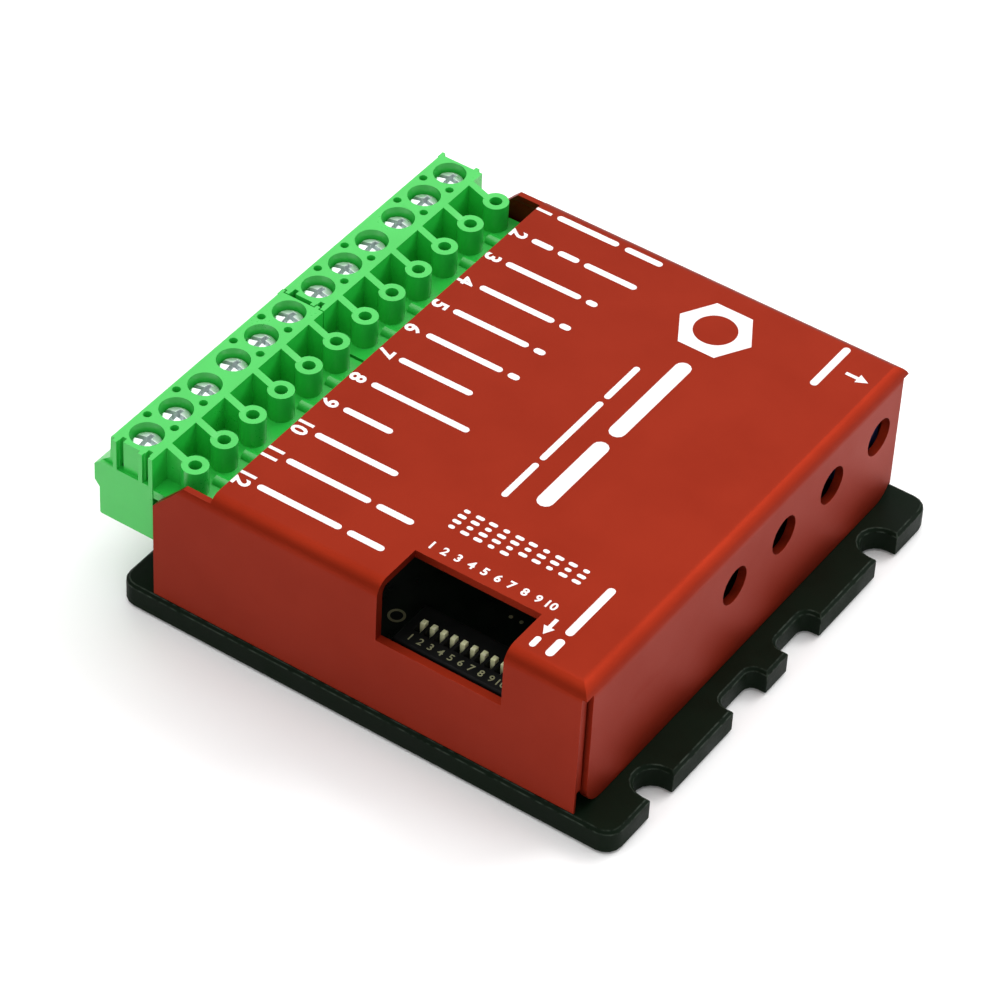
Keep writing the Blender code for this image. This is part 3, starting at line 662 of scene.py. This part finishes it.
def six_sided_mark(bm):
    """A plain six-sided plate with a round hole."""
    count = MARK_SIDES * MARK_STEPS
    side = math.tau / MARK_SIDES
    flat = MARK_REACH * math.cos(side / 2)
    turns = [math.tau * i / count for i in range(count)]
    outer = [flat / math.cos(turn % side - side / 2) for turn in turns]
    inner = [MARK_HOLE] * count
    made = bmesh.new()
    loops = []
    for radii, z in ((inner, INK_LOW), (outer, INK_LOW), (outer, INK_HIGH), (inner, INK_HIGH)):
        spots = [(MARK_AT[0] + r * math.cos(a), MARK_AT[1] + r * math.sin(a), z) for r, a in zip(radii, turns)]
        loops.append([made.verts.new(Vector(spot) * MM) for spot in spots])
    for first, second in zip(loops, loops[1:] + loops[:1]):
        for i in range(count):
            j = (i + 1) % count
            made.faces.new((first[i], first[j], second[j], second[i]))
    add(bm, made)


def switch_table(bm):
    """Rows of dashes beside the switch window, with a number under each column."""
    for column in range(TABLE_COLUMNS):
        x = TABLE_AT[0] + TABLE_STEPS[0] * column
        for line in range(TALL if column < TALL_COLUMNS else SHORT):
            wide = TABLE_WIDE if (column + line) % NARROW_EVERY else TABLE_NARROW
            y = TABLE_AT[1] + TABLE_STEPS[1] * line
            add(bm, plate(capsule((x, y), wide, TABLE_THICK), *INK))
        numeral(bm, str(column + 1), TABLE_NUMBER_HIGH, (x, TABLE_NUMBER_Y), 0)


def top_rim(edge, height):
    """Whether an edge is on the rim of a raised face at this height."""
    if not edge.is_manifold or any(abs(v.co.z - height * MM) > TINY for v in edge.verts):
        return False
    return edge.calc_face_angle() > math.radians(RIM_ANGLE)


def cover_print():
    """Numbers, bars, arrows and a nut shape where the cover is printed."""
    bm = bmesh.new()
    for row, (end, words) in enumerate(ROWS):
        y = ROW_START - row * ROW_STEP
        numeral(bm, str(row + 1), ROW_NUMBER_HIGH, (ROW_NUMBER_X, y), -90)
        bars(bm, ROW_LEFT, end, y + ROW_RISE, ROW_THICK, words)
    six_sided_mark(bm)
    for bar in UPRIGHT_BARS:
        bars(bm, *bar, turn=90)
    for spots in ARROWS:
        arrow(bm, *spots)
    switch_table(bm)
    rounded(bm, INK_ROUNDING, 1, [e for e in bm.edges if top_rim(e, INK_HIGH)])
    return piece("cover_print", bm, LOOKS["ink"], "frame", weighted=False)


# ---------------------------------------------------------------- small parts on and under the board


BOARD_LOW, BOARD_HIGH = 6.8, 8.4
# where the board is held, its small through holes, and the heights between which its pads lie
FIXINGS = ((-16.5, -26.0), (-16.5, 26.0), (20.8, -26.4), (13.2, 26.0))
VIAS = ((-10.5, -14.0), (-12.5, -14.0), (0.5, 3.0), (3.0, 3.0))
FOIL = (BOARD_HIGH - 0.01, BOARD_HIGH + 0.04)
# inner and outer radii of rings on the board, and the corners in a round of each size
VIA_RING, FIXING_RING, PIN_RING = (0.1, 0.22), (2.62, 3.1), (0.85, 1.15)
DOT_STEPS, PIN_STEPS, CHIP_DOT_STEPS, RING_STEPS, SLEEVE_STEPS = 12, 16, 20, 24, 40
# a cone of solder under the board, from its tip up: radius and height
PIN_SOLDER = ((0.5, 6.0), (0.6, 6.25), (1.1, BOARD_LOW), (0.5, BOARD_LOW), (0.5, 6.0))
# chip parts: place on the board, and whether they lie along Y
CHIP_PARTS = (
    (-16.2, -12.0, 0), (-16.2, -8.5, 0), (-16.2, -5.0, 0), (-16.2, 2.0, 1), (-16.2, 6.0, 1),
    (5.6, 13.5, 0), (5.6, 16.2, 0), (5.6, 18.9, 0), (2.0, 14.0, 1), (2.0, 18.0, 1),
    (18.0, -4.0, 1), (18.0, -8.0, 1), (21.0, -4.0, 1), (21.0, -8.0, 1), (21.0, 6.0, 0), (21.0, 9.0, 0),
)
# half their length, half their width and their height, and how long and how proud their end caps are
CHIP_HALF_LONG, CHIP_HALF_WIDE, CHIP_HIGH = 1.0, 0.62, 0.55
CAP_LONG, CAP_PROUD = 0.36, 0.03
# how far in from the ends the body between the caps reaches, and how far it stands off the board
BODY_IN, BODY_LIFT = 0.2, 0.02
CHIP_ROUNDING = 0.07


def ring(bm, centre, radii, heights, steps=RING_STEPS):
    """A flat ring between two radii and two heights."""
    (inner, outer), (low, high) = radii, heights
    profile = [(inner, low), (outer, low), (outer, high), (inner, high), (inner, low)]
    add(bm, turned(profile, (*centre, 0.0), steps))


def pads_and_joints():
    """Tinned rings on the board, and a cone of solder round each header pin below it."""
    bm = bmesh.new()
    for at in VIAS:
        ring(bm, at, VIA_RING, FOIL, DOT_STEPS)
    for at in FIXINGS:
        ring(bm, at, FIXING_RING, FOIL)
    for y in PIN_YS:
        ring(bm, (PIN_X, y), PIN_RING, FOIL, PIN_STEPS)
        add(bm, turned(PIN_SOLDER, (PIN_X, y, 0.0), DOT_STEPS))
    return piece("board_pads", bm, LOOKS["solder"], "frame")


def chip_parts():
    """Small two-ended parts soldered to the board, each a ceramic body between two metal caps."""
    bm = bmesh.new()
    body_long, body_wide = CHIP_HALF_LONG - BODY_IN, CHIP_HALF_WIDE - CAP_PROUD
    body_z = (BOARD_HIGH + BODY_LIFT, BOARD_HIGH + CHIP_HIGH)
    cap_z = (BOARD_HIGH, BOARD_HIGH + CHIP_HIGH + CAP_PROUD)
    spans = (
        ((-body_long, body_long), body_wide, body_z, 0),
        ((-CHIP_HALF_LONG, CAP_LONG - CHIP_HALF_LONG), CHIP_HALF_WIDE, cap_z, 2),
        ((CHIP_HALF_LONG - CAP_LONG, CHIP_HALF_LONG), CHIP_HALF_WIDE, cap_z, 2),
    )
    for x, y, along_y in CHIP_PARTS:
        for (low, end), half, z, look in spans:
            first, second = (x + low, x + end), (y - half, y + half)
            if along_y:
                first, second = (x - half, x + half), (y + low, y + end)
            add(bm, block(first, second, z, CHIP_ROUNDING), look)
    return piece("chip_parts", bm, [*LOOKS["ceramic"], *LOOKS["solder"]], "frame")


LEG_THICK, LEG_ROUNDING = 0.16, 0.03
# how far into its body a leg starts, and how far out of it the inner and outer sides of its drop are
LEG_IN, LEG_DROP, LEG_SHIN = 0.1, 0.14, 0.28
LEG_LOW = BOARD_HIGH + 0.02


def gull_leg(bm, at, along_y, sign, edge, width, knee, foot):
    """A leg that leaves a body's edge at knee height, drops to the board and runs out to foot past the edge.

    edge is how far the body's side is from at, and sign is the way out along X or Y.
    """
    near, drop, shin, toe = edge - LEG_IN, edge + LEG_DROP, edge + LEG_SHIN, edge + foot
    foot_high, knee_high = LEG_LOW + LEG_THICK, knee + LEG_THICK
    outline = [(near, knee), (drop, knee), (drop, LEG_LOW), (toe, LEG_LOW)]
    outline += [(toe, foot_high), (shin, foot_high), (shin, knee_high), (near, knee_high)]
    made = bmesh.new()
    sides = []
    for across in (-width / 2, width / 2):
        spots = [(across, sign * reach, z) if along_y else (sign * reach, across, z) for reach, z in outline]
        sides.append([made.verts.new((Vector(spot) + Vector((*at, 0.0))) * MM) for spot in spots])
        made.faces.new(sides[-1])
    for i in range(len(outline)):
        j = (i + 1) % len(outline)
        made.faces.new((sides[0][i], sides[0][j], sides[1][j], sides[1][i]))
    bmesh.ops.recalc_face_normals(made, faces=made.faces)
    add(bm, rounded(made, LEG_ROUNDING, 1))


# the controller chip: its middle, half its side, its top, and its legs
CHIP_AT, CHIP_HALF, CHIP_TOP = (-4.0, -8.0), 5.0, 10.2
CHIP_LEGS, CHIP_LEG_PITCH, CHIP_LEG_WIDE, CHIP_KNEE, CHIP_FOOT = 11, 0.8, 0.36, 9.3, 0.85
CHIP_DOT_IN, CHIP_DOT = 3.9, (0.12, 0.45)
# the option switch: its middle, half its depth, its top, and its legs and levers
SWITCH_AT, SWITCH_HALF_Y, SWITCH_TOP = (8.55, -24.9), 3.1, 11.0
LEVERS, LEVER_PITCH, SWITCH_LEG_WIDE, SWITCH_KNEE, SWITCH_FOOT = 10, 1.27, 0.5, 9.2, 1.0
LEVER_XS = [SWITCH_AT[0] + (i - (LEVERS - 1) / 2) * LEVER_PITCH for i in range(LEVERS)]
LEVER_NUMBER_Y, LEVER_NUMBER_HIGH, LEVER_NUMBER_BOLD = -26.85, 0.95, 0.01
# how far small print reaches into and out of the surface it is on
PRINT_IN, PRINT_OUT = 0.005, 0.012
# what shows through the window on the board: a ring and two dots
SEEN_RING_AT, SEEN_RING = (-1.65, -22.93), (0.7, 1.0)
SEEN_DOTS, SEEN_DOT = ((8.03, -15.88), (9.37, -15.86)), (0.05, 0.24)


def legs():
    """The legs of the controller chip on its four sides, and of the option switch on its two long ones."""
    bm = bmesh.new()
    chip_leg = (CHIP_HALF, CHIP_LEG_WIDE, CHIP_KNEE, CHIP_FOOT)
    for i in range(CHIP_LEGS):
        step = (i - (CHIP_LEGS - 1) / 2) * CHIP_LEG_PITCH
        for sign in (1, -1):
            gull_leg(bm, (CHIP_AT[0] + step, CHIP_AT[1]), True, sign, *chip_leg)
            gull_leg(bm, (CHIP_AT[0], CHIP_AT[1] + step), False, sign, *chip_leg)
    for x in LEVER_XS:
        for sign in (1, -1):
            at = (x, SWITCH_AT[1])
            gull_leg(bm, at, True, sign, SWITCH_HALF_Y, SWITCH_LEG_WIDE, SWITCH_KNEE, SWITCH_FOOT)
    return piece("part_legs", bm, LOOKS["solder"], "frame")


def chip_and_switch_marks():
    """The switch's numbers, the dot by the chip's first leg, and what shows through the window."""
    bm = bmesh.new()
    heights = (SWITCH_TOP - PRINT_IN, SWITCH_TOP + PRINT_OUT)
    for i, x in enumerate(LEVER_XS):
        numeral(bm, str(i + 1), LEVER_NUMBER_HIGH, (x, LEVER_NUMBER_Y), 0, heights, LEVER_NUMBER_BOLD)
    dot_at = (CHIP_AT[0] - CHIP_DOT_IN, CHIP_AT[1] + CHIP_DOT_IN)
    ring(bm, dot_at, CHIP_DOT, (CHIP_TOP - PRINT_IN, CHIP_TOP + PRINT_OUT), CHIP_DOT_STEPS)
    ring(bm, SEEN_RING_AT, SEEN_RING, FOIL)
    for at in SEEN_DOTS:
        ring(bm, at, SEEN_DOT, FOIL, DOT_STEPS)
    return piece("small_marks", bm, LOOKS["switch_ink"], "frame", weighted=False)


# the power transistors lie in two rows under the board, at plus and minus Y
TRANSISTOR_XS, TRANSISTOR_Y, TRANSISTOR_HALF_Y, TRANSISTOR_LOW = (-10.0, -2.0, 6.0, 14.0), 17.0, 3.3, 4.3
TAB_HALF, TAB_IN, TAB_OUT, TAB_THICK, TAB_ROUNDING = 2.7, 0.2, 1.3, 0.5, 0.08
TRANSISTOR_LEG_XS, TRANSISTOR_LEG_RADIUS = (-2.28, 0.0, 2.28), 0.3
# a leg's bends: how far out from its body's inner side, and how high
TRANSISTOR_LEG = ((0.2, 5.2), (-0.7, 5.2), (-1.1, 5.6), (-1.1, BOARD_LOW))


def transistor_metal():
    """Each power transistor's cooling tab, and its three legs up to the board."""
    bm = bmesh.new()
    outer, inner = TRANSISTOR_Y + TRANSISTOR_HALF_Y, TRANSISTOR_Y - TRANSISTOR_HALF_Y
    for x in TRANSISTOR_XS:
        for sign in (1, -1):
            tab_x = (x - TAB_HALF, x + TAB_HALF)
            tab_y = sorted((sign * (outer - TAB_IN), sign * (outer + TAB_OUT)))
            add(bm, block(tab_x, tab_y, (TRANSISTOR_LOW, TRANSISTOR_LOW + TAB_THICK), TAB_ROUNDING))
            for step in TRANSISTOR_LEG_XS:
                bends = [(x + step, sign * (inner + out), z) for out, z in TRANSISTOR_LEG]
                add(bm, pipe(bends, TRANSISTOR_LEG_RADIUS))
    return piece("transistor_metal", bm, LOOKS["solder"], "frame")


CAPACITOR_AT, CAPACITOR_RADIUS = (-9.0, 15.0), 5.0
SLEEVE_LOW, SLEEVE_HIGH, SLEEVE_IN, SLEEVE_OUT = 11.0, 18.1, 0.02, 0.07
# how far from its ends the sleeve's outside starts to turn in
SLEEVE_FOOT, SLEEVE_ROLL = 0.05, 0.1
# the stripe's middle and half its width, in degrees round the sleeve
STRIPE_AT, STRIPE_HALF = -90.0, 25.0


def capacitor_sleeve():
    """The capacitor's dark sleeve, rolled in at its top, with a pale stripe down one side."""
    bm = bmesh.new()
    inner, outer = CAPACITOR_RADIUS - SLEEVE_IN, CAPACITOR_RADIUS + SLEEVE_OUT
    profile = [(inner, SLEEVE_LOW), (outer, SLEEVE_LOW + SLEEVE_FOOT), (outer, SLEEVE_HIGH - SLEEVE_ROLL)]
    profile += [(inner, SLEEVE_HIGH), (inner, SLEEVE_LOW)]
    add(bm, turned(profile, (*CAPACITOR_AT, 0.0), SLEEVE_STEPS))
    for face in bm.faces:
        at = face.calc_center_median() / MM
        turn = math.degrees(math.atan2(at.y - CAPACITOR_AT[1], at.x - CAPACITOR_AT[0]))
        face.material_index = 2 if abs(turn - STRIPE_AT) < STRIPE_HALF else 0
    looks = [*LOOKS["black_plastic"], *LOOKS["white_plastic"]]
    return piece("capacitor_sleeve", bm, looks, "frame")


INDUCTOR_AT, INDUCTOR_HALF = (11.0, 6.0), 3.6
WINDING_TURNS, WINDING_LOW, WINDING_PITCH, WIRE_RADIUS = 5, 9.5, 0.52, 0.24
# how far in from the inductor's side each corner's centre is, and the corner's radius
CORNER_IN, CORNER_RADIUS = 0.9, 0.95


def inductor_winding():
    """Turns of wire round the inductor's waist."""
    bm = bmesh.new()
    reach = INDUCTOR_HALF - CORNER_IN
    for turn in range(WINDING_TURNS):
        z = WINDING_LOW + WINDING_PITCH * turn
        loop = []
        for cx, cy, start in ((1, 1, 0), (-1, 1, 90), (-1, -1, 180), (1, -1, 270)):
            for a in (start, start + 45, start + 90):
                spot = Vector((math.cos(math.radians(a)), math.sin(math.radians(a)))) * CORNER_RADIUS
                loop.append((INDUCTOR_AT[0] + cx * reach + spot.x, INDUCTOR_AT[1] + cy * reach + spot.y, z))
        add(bm, pipe([*loop, loop[0]], WIRE_RADIUS))
    return piece("inductor_winding", bm, LOOKS["copper_wire"], "frame")


def board_details():
    pads_and_joints()
    chip_parts()
    legs()
    chip_and_switch_marks()
    transistor_metal()
    capacitor_sleeve()
    inductor_winding()


# ---------------------------------------------------------------- floor, light, camera


WORLD = 0.46
# the floor's reach and height in metres, and its cloud size in millimetres
FLOOR_HALF, FLOOR_Z, FLOOR_CLOUD = 3.0, -0.00002, 60.0
FLOOR_COLOURS = ((0.97, 0.97, 0.97), (0.98, 0.98, 0.98))
# name, place in metres, size in metres, power in watts
LAMPS = (
    ("overhead", (-0.05, 0.05, 0.75), (0.7, 0.7), 2.2),
    ("left_softbox", (-0.31, -0.30, 0.66), (0.7, 0.6), 1.4),
    ("far_softbox", (-0.40, 0.62, 0.62), (0.9, 0.8), 2.4),
    ("back_softbox", (0.21, 0.58, 0.66), (0.4, 0.4), 2.7),
    ("right_softbox", (0.66, 0.50, 0.42), (0.7, 0.5), 2.4),
    ("near_fill", (0.45, -0.62, 0.40), (0.5, 0.4), 1.0),
)
AIM = (0.0, 0.0, 0.01)


def world_and_lights():
    """An even pale backdrop, and rectangular lamps that face the part."""
    scene = bpy.context.scene
    scene.view_settings.view_transform = "Standard"
    scene.view_settings.look = "None"
    world = bpy.data.worlds.new("studio")
    scene.world = world
    world.use_nodes = True
    backdrop = world.node_tree.nodes["Background"]
    backdrop.inputs["Color"].default_value = (1.0, 1.0, 1.0, 1.0)
    backdrop.inputs["Strength"].default_value = WORLD
    for name, at, size, power in LAMPS:
        data = bpy.data.lights.new(name, "AREA")
        data.shape = "RECTANGLE"
        data.size, data.size_y = size
        data.energy = power
        lamp = bpy.data.objects.new(name, data)
        scene.collection.objects.link(lamp)
        lamp.location = at
        aim = Vector(AIM) - Vector(at)
        lamp.rotation_mode = "QUATERNION"
        lamp.rotation_quaternion = aim.to_track_quat("-Z", "Y")


def floor():
    """A plain floor, just under the part."""
    bm = bmesh.new()
    bmesh.ops.create_grid(bm, x_segments=2, y_segments=2, size=FLOOR_HALF)
    mesh = bpy.data.meshes.new("floor")
    bm.to_mesh(mesh)
    bm.free()
    g = Graph("floor")
    tint = g.mixed(g.noise(FLOOR_CLOUD), *map(opaque, FLOOR_COLOURS))
    mesh.materials.append(g.out(Base_Color=tint, Roughness=0.6, Specular_IOR_Level=0.2))
    made = bpy.data.objects.new("floor", mesh)
    bpy.context.scene.collection.objects.link(made)
    made.location.z = FLOOR_Z


# the photograph's viewing angle, fitted to the plate's and the cover's edges: where the camera stands, in
# millimetres, and which ways are right, up and forward for it
CAMERA_AT = (188.926, -304.825, 337.844)
CAMERA_RIGHT = (0.82253121, 0.56714226, 0.0423327)
CAMERA_UP = (-0.40984879, 0.53950816, 0.73549637)
CAMERA_FORWARD = (-0.39429224, 0.62231873, -0.67620487)
# sensor and focal length in millimetres, and the nearest and farthest distance in metres
SENSOR, LENS = 36.0, 162.68
CLIP = (0.01, 20.0)


def camera():
    """The camera, at the photograph's viewing angle."""
    data = bpy.data.cameras.new("camera")
    data.sensor_width = SENSOR
    data.lens = LENS
    data.clip_start, data.clip_end = CLIP
    made = bpy.data.objects.new("camera", data)
    bpy.context.scene.collection.objects.link(made)
    turn = Matrix((CAMERA_RIGHT, CAMERA_UP, -Vector(CAMERA_FORWARD))).transposed().to_4x4()
    made.matrix_world = Matrix.Translation(Vector(CAMERA_AT) * MM) @ turn
    bpy.context.scene.camera = made


finish_cad_nodes()
cover_print()
board_details()
world_and_lights()
floor()
camera()
